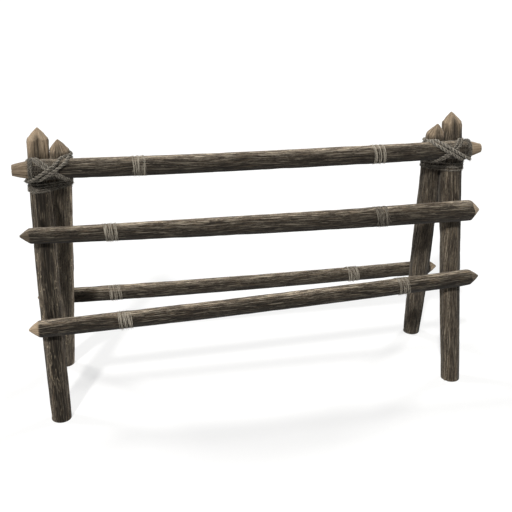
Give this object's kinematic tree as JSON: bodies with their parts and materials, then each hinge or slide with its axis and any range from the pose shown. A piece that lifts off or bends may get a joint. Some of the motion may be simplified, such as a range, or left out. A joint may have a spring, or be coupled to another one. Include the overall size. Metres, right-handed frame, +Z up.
{
  "type": "livestock rail fence",
  "caption": "Free-standing livestock fence: crossed round posts lashed with rope carry horizontal pole rails front and back.",
  "frame": {"origin": "on the ground, midway between the four feet", "axes": "+X along the rails to the right seen from the front, +Y from the front feet to the back feet, +Z up"},
  "size_m": [2.4793, 0.6988, 1.5001],
  "materials": {
    "post_wood": "weathered, barked round pole",
    "rail_wood": "weathered, barked round pole",
    "peg_wood": "dry split wood",
    "rope": "weathered twisted fibre rope",
    "cord": "weathered strips of bast"
  },
  "bodies": {
    "root": {"post_front_left": "post_wood", "post_back_left": "post_wood", "post_front_right": "post_wood", "post_back_right": "post_wood", "rail_top": "rail_wood", "rail_middle": "rail_wood", "rail_lower_front": "rail_wood", "rail_back": "rail_wood", "peg_middle_left": "peg_wood", "peg_middle_right": "peg_wood", "peg_lower_left": "peg_wood", "peg_lower_right": "peg_wood", "peg_back_left": "peg_wood", "peg_back_right": "peg_wood", "lashing_left": "rope", "lashing_right": "rope", "collar_left": "rope", "collar_right": "rope", "winding_top_left": "cord", "winding_top_right": "cord", "winding_middle_left": "cord", "winding_middle_right": "cord", "winding_lower_left": "cord", "winding_lower_right": "cord", "winding_back_left": "cord", "winding_back_right": "cord"}
  },
  "joints": []
}
